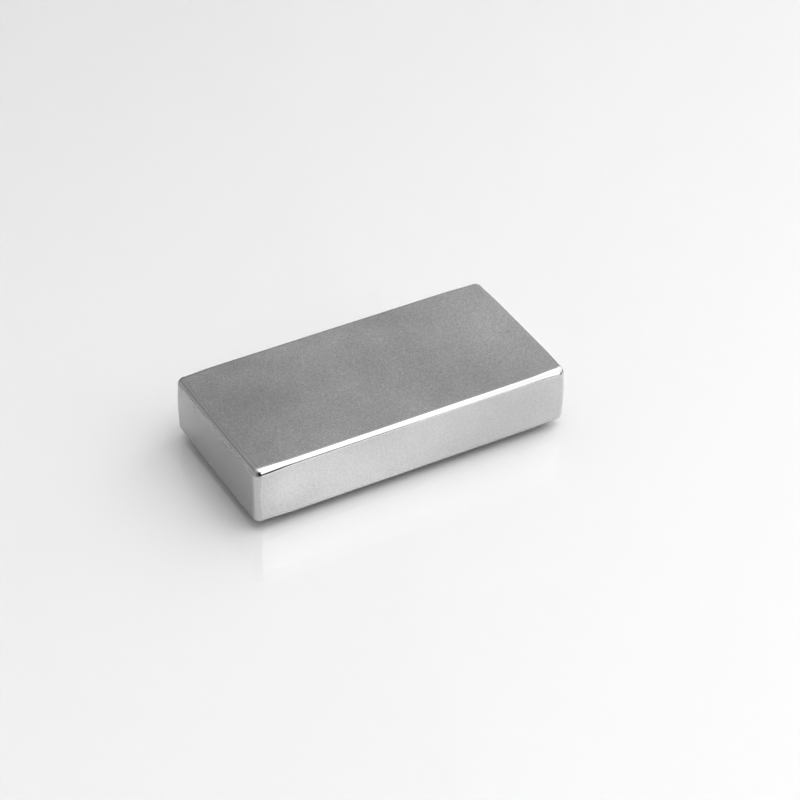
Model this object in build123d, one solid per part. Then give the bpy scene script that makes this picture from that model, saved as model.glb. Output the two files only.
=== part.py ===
from build123d import *
from math import cos, radians
import os

# A plated block magnet: a flat-sided block whose edges were rounded by tumbling.
# The block lies on its broad face, with the origin at the centre of that face.
# X runs along its length, Y across its width and Z through its thickness.

# Block size across the flat faces, in millimetres
length = 50.8
width = 25.4
thickness = 9.525

# Tumbling rounds the edges and takes more off towards the corners.
edge_radius = 0.85
corner_radius = 1.15
wear_length = 5.0

# Worn stretches never meet: at least this share of a short edge keeps the edge radius.
least_even_share = 0.2

AXES = (Vector(1, 0, 0), Vector(0, 1, 0), Vector(0, 0, 1))
HALF_SIZES = (length / 2, width / 2, thickness / 2)
MIDDLE_PLANES = (Plane.YZ, Plane.XZ, Plane.XY)
ROUND_WEIGHTS = [1, cos(radians(45)), 1]


def other_axes(axis):
    """The two axes square to the given one, in turning order."""
    return (axis + 1) % 3, (axis + 2) % 3


def mirrored(shape, *axes):
    """A shape with its mirror images in the block's middle planes square to the given axes."""
    shapes = [shape]
    for axis in axes:
        shapes += [original.mirror(MIDDLE_PLANES[axis]) for original in shapes]
    return shapes


def edge_ends(along):
    """Where the wear starts and stops on the positive half of an edge, from the block's middle."""
    stop = HALF_SIZES[along] - corner_radius
    worn = min(wear_length, stop * (1 - least_even_share))
    return stop - worn, stop


def worn_stations(along):
    """Stations of a worn stretch with their radii, which start and end level."""
    start, stop = edge_ends(along)
    third = (stop - start) / 3
    return [
        (start, edge_radius),
        (start + third, edge_radius),
        (stop - third, corner_radius),
        (stop, corner_radius),
    ]


def quarter_round(along, station, radius):
    """The three control points of an edge's quarter round at one station along it."""
    first, second = other_axes(along)
    sharp = AXES[along] * station
    sharp += AXES[first] * HALF_SIZES[first] + AXES[second] * HALF_SIZES[second]
    return [sharp - AXES[second] * radius, sharp, sharp - AXES[first] * radius]


def even_edge(along):
    """The middle of an edge: a quarter cylinder of the edge radius."""
    start, _ = edge_ends(along)
    _, second = other_axes(along)
    from_face, _, to_face = quarter_round(along, -start, edge_radius)
    arc = Edge.make_tangent_arc(from_face, AXES[second], to_face)
    return Face.extrude(arc, AXES[along] * 2 * start)


def worn_edge(along):
    """One end of an edge: a quarter round whose radius grows smoothly to the corner's."""
    rows = [quarter_round(along, station, radius) for station, radius in worn_stations(along)]
    return Face.make_bezier_surface(rows, [ROUND_WEIGHTS] * len(rows))


def corner():
    """One corner: an eighth of a sphere, tangent to the three flat faces."""
    centre = Vector(*HALF_SIZES) - Vector(1, 1, 1) * corner_radius
    eighth = Solid.make_sphere(corner_radius, Plane(centre), angle1=0, angle2=90, angle3=90)
    return eighth.faces().filter_by(GeomType.SPHERE)[0]


def rim(along, across, normal):
    """A flat face's outline beside the two edges that run along one axis."""
    level = AXES[normal] * HALF_SIZES[normal]

    def point(station, radius):
        return level + AXES[along] * station + AXES[across] * (HALF_SIZES[across] - radius)

    start, _ = edge_ends(along)
    straight = Edge.make_line(point(-start, edge_radius), point(start, edge_radius))
    worn = Edge.make_bezier(*[point(*station) for station in worn_stations(along)])
    return mirrored(straight, across) + mirrored(worn, along, across)


def flat_face(normal):
    """One flat side of the block, bounded by where its four edges begin to round."""
    first, second = other_axes(normal)
    outline = rim(first, second, normal) + rim(second, first, normal)
    return Face(Wire(outline))


def magnet_block():
    """The closed block, sewn from its six flats, twelve edges and eight corners."""
    faces = mirrored(corner(), 0, 1, 2)
    for axis in range(len(AXES)):
        faces += mirrored(flat_face(axis), axis)
        faces += mirrored(even_edge(axis), *other_axes(axis))
        faces += mirrored(worn_edge(axis), 0, 1, 2)
    block = Solid(Shell(faces))
    return block.translate(AXES[2] * thickness / 2)


os.makedirs("parts", exist_ok=True)
export_step(magnet_block(), "parts/magnet_block.step")
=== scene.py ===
import bpy
from math import ceil, cos, pi, radians, sin, tan
from mathutils import Matrix, Vector, noise

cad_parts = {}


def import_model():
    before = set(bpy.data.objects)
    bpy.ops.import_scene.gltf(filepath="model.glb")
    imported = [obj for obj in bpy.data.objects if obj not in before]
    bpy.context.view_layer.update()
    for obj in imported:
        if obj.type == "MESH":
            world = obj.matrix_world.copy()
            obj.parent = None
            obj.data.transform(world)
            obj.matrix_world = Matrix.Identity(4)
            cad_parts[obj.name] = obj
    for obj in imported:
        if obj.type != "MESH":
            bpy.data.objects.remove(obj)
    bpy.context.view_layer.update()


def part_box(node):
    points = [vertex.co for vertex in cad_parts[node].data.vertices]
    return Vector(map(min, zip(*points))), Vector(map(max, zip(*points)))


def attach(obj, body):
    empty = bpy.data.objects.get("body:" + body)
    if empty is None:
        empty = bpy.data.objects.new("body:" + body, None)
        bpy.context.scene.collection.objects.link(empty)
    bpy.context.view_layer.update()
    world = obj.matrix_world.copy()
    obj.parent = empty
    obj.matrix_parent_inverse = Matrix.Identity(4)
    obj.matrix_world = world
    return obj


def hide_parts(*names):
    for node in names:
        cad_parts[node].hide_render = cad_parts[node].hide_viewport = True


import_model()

MM = 0.001
BLOCK = "magnet_block"
low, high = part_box(BLOCK)
middle = (low + high) / 2
half_sizes = (high - low) / 2

# Form of the edges: tumbling rounds them more towards the corners
edge_radius = 0.85 * MM
corner_radius = 1.15 * MM
wear_length = 5.0 * MM
least_even_share = 0.2

# Mesh of the block
station_step = 0.3 * MM
support_gap = 0.03 * MM
round_steps = 8

# The pressed and ground blank is never quite flat under its plating
wave_depth = 0.006 * MM
wave_length = 7.0 * MM

# Plating: the ends and the broad faces are darkened in colour as painted shade, and the rounds are
# polished
nickel = (0.56, 0.56, 0.56)
end_painted_shade = 0.71
broad_painted_shade = 0.87
painted_shade_from = 0.8
cloud_size = 6.0 * MM
cloud_detail = 3.0
cloud_range = (0.3, 0.7)
cloud_roughness = (0.27, 0.33)
cloud_brightness = (0.97, 1.03)
round_polish = 0.15
polished_lean = 0.01
grain_size = 0.16 * MM
grain_detail = 2.0
side_grain = 0.6
broad_grain = 1.2
grain_depth = 0.01 * MM
speck_size = 0.22 * MM
speck_share = 0.02
speck_glint = 0.3

# Marks on the plating and patches of painted light and shade: where each is and its radius, in
# millimetres, and its brightness
marks_and_painted_light = [
    ((22.55, -0.96, 9.52), 0.35, 0.55),
    ((-23.75, 4.30, 9.52), 0.25, 1.12),
    ((-23.50, 3.95, 9.52), 0.25, 1.12),
    # A painted glint: one bright spot on the top face
    ((-12.38, -1.98, 9.52), 0.22, 1.25),
    # Painted light and shade from here on: broad soft patches that lighten or darken the front, top and
    # left faces where their reflections are lighter or darker
    ((-21.0, -12.7, 5.0), 5.0, 1.16),
    ((-10.0, -12.7, 5.0), 18.0, 1.24),
    ((17.0, -12.7, 4.0), 13.0, 0.90),
    ((-6.0, 12.0, 12.0), 15.0, 1.12),
    ((21.0, 4.0, 12.0), 17.0, 1.16),
    ((11.0, -7.0, 12.0), 8.0, 0.88),
    ((-7.0, -12.5, 12.0), 13.0, 0.80),
    ((-19.0, 0.0, 12.0), 17.0, 0.87),
    ((-25.4, 11.5, 5.0), 7.0, 1.12),
    ((-25.4, -8.0, 3.0), 11.0, 0.92),
]

# Camera, as the photograph was taken: its azimuth counts from the front
camera_azimuth = radians(-29.70)
camera_elevation = radians(37.69)
camera_roll = radians(0.734)
camera_distance = 415.46 * MM
camera_lens = 128.44
camera_sensor = 36.0
camera_reach = (10 * MM, 10.0)
aim_right = 4.168 * MM
aim_up = -0.265 * MM

# Studio
table_size = 6.0
board_depth = 1.3 * MM
board_colour = (0.92, 0.92, 0.92)
board_roughness = 0.25
sheet_faces = (-0.01 * MM, -1.12 * MM)
sheet_roughness = 0.02
sheet_index = 1.5

# The soft light's panels: reach across and along its own axes in metres, and brightness
softbox_azimuth = 100
softbox_lean = (225, 54.7)
softbox_distance = 0.5
softbox_panels = [
    ((-0.53, -0.12), (0.13, 0.6), 1.8),
    ((-0.12, 0.20), (-0.10, 1.5), 1.5),
    ((0.20, 0.56), (-0.35, 1.5), 1.55),
    ((-0.12, 0.56), (0.6, 1.5), 1.7),
]

# Light from the studio's walls: azimuth and elevation, brightness and how closely it keeps to them
walls = [
    ((90, 0), 0.32, 2),
    ((-90, 0), 0.58, 2),
    ((0, 0), 0.2, 2),
    ((-10, 46), 0.3, 12),
    ((-50, 2), 0.3, 40),
    ((56, 36), 0.85, 18),
    ((33, 8), 0.5, 30),
    ((0, 90), 0.05, 2),
    ((0, 90), 1.5, 7),
]
backdrop_radiance = 0.85


def radius_at(station, half):
    """Radius of an edge's round at a station along it, from the middle of an edge of that half length."""
    stop = half - corner_radius
    start = stop - min(wear_length, stop * (1 - least_even_share))
    share = min(max((abs(station) - start) / (stop - start), 0), 1)
    return edge_radius + (corner_radius - edge_radius) * share * share * (3 - 2 * share)


def columns(half):
    """Grid lines across a face from side to side: each has a station and a lean of the surface."""
    core = half - corner_radius
    count = ceil(2 * core / station_step)
    inner = [-core + 2 * core * step / count for step in range(1, count)]
    flats = [-core, -core + support_gap, *inner, core - support_gap, core]
    leans = [radians(45) * step / round_steps for step in range(1, round_steps + 1)]
    before = [(-core, -lean) for lean in reversed(leans)]
    after = [(core, lean) for lean in leans]
    return before + [(station, 0.0) for station in flats] + after


def sign(value):
    return -1 if value < 0 else 1


def face_point(first, second, half_first, half_second, half_normal):
    """A point on one face or on its half of the rounds, with its normal, in that face's own axes."""
    station, lean = first
    other_station, other_lean = second
    radius = radius_at(other_station, half_second)
    other_radius = radius_at(station, half_first)
    if not lean and not other_lean:
        x = station * (half_first - radius) / (half_first - corner_radius)
        y = other_station * (half_second - other_radius) / (half_second - corner_radius)
        return Vector((x, y, half_normal)), Vector((0, 0, 1))
    normal = Vector((tan(lean), tan(other_lean), 1)).normalized()
    if not other_lean:
        inset = half_first - radius
        centre = Vector((sign(lean) * inset, other_station, half_normal - radius))
        return centre + normal * radius, normal
    if not lean:
        inset = half_second - other_radius
        centre = Vector((station, sign(other_lean) * inset, half_normal - other_radius))
        return centre + normal * other_radius, normal
    centre = Vector((station, other_station, half_normal - corner_radius))
    return centre + normal * corner_radius, normal


def wave(point):
    """Depth of the surface's slow waves at a point, always into the block."""
    return wave_depth * (0.5 + 0.5 * noise.noise(point / wave_length))


def in_axes(axes, values):
    """A vector whose parts are given along the three named axes."""
    vector = Vector()
    for axis, value in zip(axes, values):
        vector[axis] = value
    return vector


def face_rows(normal_axis, side, grids):
    """Rows of points with their normals across one side of the block, from the block's middle."""
    axes = (normal_axis + 1) % 3, (normal_axis + 2) % 3, normal_axis
    halves = [half_sizes[axis] for axis in axes]
    rows = []
    for second in grids[axes[1]]:
        row = []
        for first in grids[axes[0]]:
            place, normal = face_point(first, second, *halves)
            place.z *= side
            normal.z *= side
            row.append((in_axes(axes, place), in_axes(axes, normal)))
        rows.append(row)
    return rows


def block_grid():
    """Points, normals and faces of the whole block as one closed grid, its sides joined at their seams."""
    points, normals, faces, index = [], [], [], {}

    def number(point, normal):
        key = tuple(round(value / MM, 5) for value in point)
        if key not in index:
            index[key] = len(points)
            points.append(point)
            normals.append(normal)
        return index[key]

    grids = [columns(half) for half in half_sizes]
    for normal_axis in range(3):
        for side in (-1, 1):
            rows = [[number(*spot) for spot in row] for row in face_rows(normal_axis, side, grids)]
            for lower, upper in zip(rows, rows[1:]):
                for place in range(len(lower) - 1):
                    corners = [lower[place], lower[place + 1], upper[place + 1], upper[place]]
                    faces.append(corners if side > 0 else corners[::-1])
    return points, normals, faces


def block_mesh():
    """The block's mesh, which notes at each point how the surface leans for the plating."""
    points, normals, faces = block_grid()
    waved = [point - normal * wave(point) + middle for point, normal in zip(points, normals)]
    mesh = bpy.data.meshes.new("plated_block")
    mesh.from_pydata(waved, [], faces)
    leans = [1 - max(abs(slope) for slope in normal) for normal in normals]
    ends = [abs(normal.x) for normal in normals]
    broads = [abs(normal.z) for normal in normals]
    for name, values in (("lean", leans), ("end", ends), ("broad", broads)):
        attribute = mesh.attributes.new(name, "FLOAT", "POINT")
        attribute.data.foreach_set("value", values)
    mesh.shade_smooth()
    mesh.validate()
    return mesh


def new_material(name):
    material = bpy.data.materials.new(name)
    material.use_nodes = True
    nodes = material.node_tree.nodes
    return material, nodes, material.node_tree.links, nodes["Principled BSDF"]


def mapped(nodes, links, value, source, target, kind="LINEAR"):
    """A value carried from one range to another and held at its ends."""
    node = nodes.new("ShaderNodeMapRange")
    node.interpolation_type = kind
    node.inputs["From Min"].default_value, node.inputs["From Max"].default_value = source
    node.inputs["To Min"].default_value, node.inputs["To Max"].default_value = target
    links.new(value, node.inputs["Value"])
    return node.outputs["Result"]


def product(nodes, links, values):
    """All the given values multiplied together."""
    total = values[0]
    for value in values[1:]:
        node = nodes.new("ShaderNodeMath")
        node.operation = "MULTIPLY"
        links.new(total, node.inputs[0])
        links.new(value, node.inputs[1])
        total = node.outputs["Value"]
    return total


def attribute_value(nodes, name):
    node = nodes.new("ShaderNodeAttribute")
    node.attribute_name = name
    return node.outputs["Fac"]


def noise_value(nodes, links, place, size, detail):
    node = nodes.new("ShaderNodeTexNoise")
    node.inputs["Scale"].default_value = 1 / size
    node.inputs["Detail"].default_value = detail
    links.new(place, node.inputs["Vector"])
    return node.outputs["Fac"]


def scaled_sum(nodes, links, value, scale, base=None):
    """A value times a scale, added to a base value or else to 1."""
    node = nodes.new("ShaderNodeMath")
    node.operation = "MULTIPLY_ADD"
    node.inputs[2].default_value = 1
    links.new(value, node.inputs[0])
    links.new(scale, node.inputs[1])
    if base is not None:
        links.new(base, node.inputs[2])
    return node.outputs["Value"]


def specks(nodes, links, place):
    """How much the few grains that glint stand out."""
    cells = nodes.new("ShaderNodeTexVoronoi")
    cells.inputs["Scale"].default_value = 1 / speck_size
    links.new(place, cells.inputs["Vector"])
    chance = nodes.new("ShaderNodeSeparateXYZ")
    links.new(cells.outputs["Color"], chance.inputs["Vector"])
    return mapped(nodes, links, chance.outputs["X"], (1 - speck_share, 1), (0, speck_glint))


def painted_light_or_mark_patch(nodes, links, place, centre, radius, brightness):
    """Brightness of one soft round patch: a real mark on the plating, a painted glint, or a patch of
    painted light and shade.
    """
    away = nodes.new("ShaderNodeVectorMath")
    away.operation = "DISTANCE"
    away.inputs[1].default_value = Vector(centre) * MM
    links.new(place, away.inputs[0])
    return mapped(nodes, links, away.outputs["Value"], (0, radius * MM), (brightness, 1), "SMOOTHSTEP")


def nickel_plating():
    """Satin nickel with soft clouds and a fine grain, polished on the rounds, with painted shade on the
    ends and broad faces and soft patches of painted light and shade.
    """
    material, nodes, links, shader = new_material("nickel_plating")
    shader.inputs["Metallic"].default_value = 1.0
    place = nodes.new("ShaderNodeTexCoord").outputs["Object"]
    cloud = noise_value(nodes, links, place, cloud_size, cloud_detail)
    grain = noise_value(nodes, links, place, grain_size, grain_detail)
    lean = attribute_value(nodes, "lean")
    flatness = mapped(nodes, links, lean, (0, polished_lean), (1, round_polish))
    broad = attribute_value(nodes, "broad")
    coarseness = mapped(nodes, links, broad, (0, 1), (side_grain, broad_grain))
    grain_strength = product(nodes, links, [coarseness, flatness])
    grained = scaled_sum(nodes, links, mapped(nodes, links, grain, (0, 1), (-0.5, 0.5)), grain_strength)

    brightness = [
        # Painted shade: the end faces and the broad faces are darkened in colour
        mapped(nodes, links, attribute_value(nodes, "end"), (painted_shade_from, 1), (1, end_painted_shade)),
        mapped(nodes, links, broad, (painted_shade_from, 1), (1, broad_painted_shade)),
        mapped(nodes, links, cloud, cloud_range, cloud_brightness),
        scaled_sum(nodes, links, specks(nodes, links, place), broad, grained),
    ]
    # Patches of painted light and shade, a painted glint and a few real marks
    brightness += [painted_light_or_mark_patch(nodes, links, place, *one) for one in marks_and_painted_light]
    tint = nodes.new("ShaderNodeVectorMath")
    tint.operation = "SCALE"
    tint.inputs[0].default_value = nickel
    links.new(product(nodes, links, brightness), tint.inputs["Scale"])
    links.new(tint.outputs["Vector"], shader.inputs["Base Color"])

    roughness = mapped(nodes, links, cloud, cloud_range, cloud_roughness)
    links.new(product(nodes, links, [roughness, flatness]), shader.inputs["Roughness"])

    bump = nodes.new("ShaderNodeBump")
    bump.inputs["Distance"].default_value = grain_depth
    links.new(grain, bump.inputs["Height"])
    links.new(flatness, bump.inputs["Strength"])
    links.new(bump.outputs["Normal"], shader.inputs["Normal"])
    return material


def block():
    piece = bpy.data.objects.new("plated_block", block_mesh())
    bpy.context.scene.collection.objects.link(piece)
    piece.data.materials.append(nickel_plating())
    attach(piece, "root")
    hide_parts(BLOCK)


def staged_plane(name, level, material):
    """A wide level sheet of the studio table."""
    half = table_size / 2
    mesh = bpy.data.meshes.new(name)
    corners = [(-half, -half, level), (half, -half, level), (half, half, level), (-half, half, level)]
    mesh.from_pydata(corners, [], [(0, 1, 2, 3)])
    mesh.materials.append(material)
    plane = bpy.data.objects.new(name, mesh)
    bpy.context.scene.collection.objects.link(plane)


def pale_board():
    material, _, _, shader = new_material("pale_board")
    shader.inputs["Base Color"].default_value = (*board_colour, 1)
    shader.inputs["Roughness"].default_value = board_roughness
    return material


def clear_sheet():
    """One face of the clear sheet over the board: it mirrors a little, more so at a shallow angle."""
    material, nodes, links, shader = new_material("clear_sheet")
    nodes.remove(shader)
    mirror = nodes.new("ShaderNodeBsdfGlossy")
    mirror.inputs["Roughness"].default_value = sheet_roughness
    clear = nodes.new("ShaderNodeBsdfTransparent")
    side = nodes.new("ShaderNodeNewGeometry")
    index = nodes.new("ShaderNodeMapRange")
    index.inputs["To Min"].default_value = sheet_index
    index.inputs["To Max"].default_value = 1 / sheet_index
    links.new(side.outputs["Backfacing"], index.inputs["Value"])
    fresnel = nodes.new("ShaderNodeFresnel")
    links.new(index.outputs["Result"], fresnel.inputs["IOR"])
    mix = nodes.new("ShaderNodeMixShader")
    links.new(fresnel.outputs["Fac"], mix.inputs["Fac"])
    links.new(clear.outputs["BSDF"], mix.inputs[1])
    links.new(mirror.outputs["BSDF"], mix.inputs[2])
    links.new(mix.outputs["Shader"], nodes["Material Output"].inputs["Surface"])
    return material


def direction(azimuth, elevation):
    """Unit vector; azimuth 0 is +Y and 90 is +X, in degrees."""
    azimuth, elevation = radians(azimuth), radians(elevation)
    return Vector((sin(azimuth) * cos(elevation), cos(azimuth) * cos(elevation), sin(elevation)))


def softbox(across, along, radiance):
    """One panel of the wide soft light at the right, which leans over the block."""
    up = direction(*softbox_lean)
    towards = direction(softbox_azimuth, 0)
    towards = (towards - up * towards.dot(up)).normalized()
    side = up.cross(towards)
    lamp = bpy.data.lights.new("softbox", "AREA")
    lamp.shape = "RECTANGLE"
    lamp.size = across[1] - across[0]
    lamp.size_y = along[1] - along[0]
    lamp.energy = radiance * pi * lamp.size * lamp.size_y
    light = bpy.data.objects.new("softbox", lamp)
    bpy.context.scene.collection.objects.link(light)
    place = towards * softbox_distance + side * sum(across) / 2 + up * sum(along) / 2
    turn = Matrix((side, up, towards)).transposed().to_4x4()
    light.matrix_world = Matrix.Translation(place) @ turn
    light.visible_camera = False


def wall_light(nodes, links, view, towards, radiance, closeness):
    """Light that comes from one side of the studio and fades away from it."""
    facing = nodes.new("ShaderNodeVectorMath")
    facing.operation = "DOT_PRODUCT"
    facing.inputs[1].default_value = direction(*towards)
    links.new(view, facing.inputs[0])
    share = mapped(nodes, links, facing.outputs["Value"], (0, 1), (0, 1))
    fade = nodes.new("ShaderNodeMath")
    fade.operation = "POWER"
    fade.inputs[1].default_value = closeness
    links.new(share, fade.inputs[0])
    wall = nodes.new("ShaderNodeBackground")
    wall.inputs["Strength"].default_value = radiance
    links.new(fade.outputs["Value"], wall.inputs["Color"])
    return wall.outputs["Background"]


def world():
    """Studio walls for the light and the reflections, and a pale backdrop for the camera."""
    studio = bpy.data.worlds.new("studio")
    bpy.context.scene.world = studio
    studio.use_nodes = True
    nodes, links = studio.node_tree.nodes, studio.node_tree.links
    view = nodes.new("ShaderNodeTexCoord").outputs["Generated"]
    lights = [wall_light(nodes, links, view, *wall) for wall in walls]
    total = lights[0]
    for light in lights[1:]:
        both = nodes.new("ShaderNodeAddShader")
        links.new(total, both.inputs[0])
        links.new(light, both.inputs[1])
        total = both.outputs["Shader"]
    backdrop = nodes["Background"]
    backdrop.inputs["Color"].default_value = (backdrop_radiance,) * 3 + (1,)
    path = nodes.new("ShaderNodeLightPath")
    mix = nodes.new("ShaderNodeMixShader")
    links.new(path.outputs["Is Camera Ray"], mix.inputs["Fac"])
    links.new(total, mix.inputs[1])
    links.new(backdrop.outputs["Background"], mix.inputs[2])
    links.new(mix.outputs["Shader"], nodes["World Output"].inputs["Surface"])


def camera():
    """The photograph's camera: a long lens from the front left, a little off level."""
    azimuth, elevation = camera_azimuth, camera_elevation
    back = Vector((sin(azimuth) * cos(elevation), -cos(azimuth) * cos(elevation), sin(elevation)))
    level_right = Vector((cos(azimuth), sin(azimuth), 0))
    level_up = back.cross(level_right)
    right = level_right * cos(camera_roll) + level_up * sin(camera_roll)
    up = level_up * cos(camera_roll) - level_right * sin(camera_roll)
    lens = bpy.data.cameras.new("camera")
    lens.lens = camera_lens
    lens.sensor_width = camera_sensor
    lens.clip_start, lens.clip_end = camera_reach
    eye = bpy.data.objects.new("camera", lens)
    bpy.context.scene.collection.objects.link(eye)
    place = middle + back * camera_distance + right * aim_right + up * aim_up
    turn = Matrix((right, up, back)).transposed().to_4x4()
    eye.matrix_world = Matrix.Translation(place) @ turn
    bpy.context.scene.camera = eye


bpy.context.scene.view_settings.view_transform = "Standard"
camera()
block()
staged_plane("pale_board", -board_depth, pale_board())
for level in sheet_faces:
    staged_plane("clear_sheet", level, clear_sheet())
for panel in softbox_panels:
    softbox(*panel)
world()
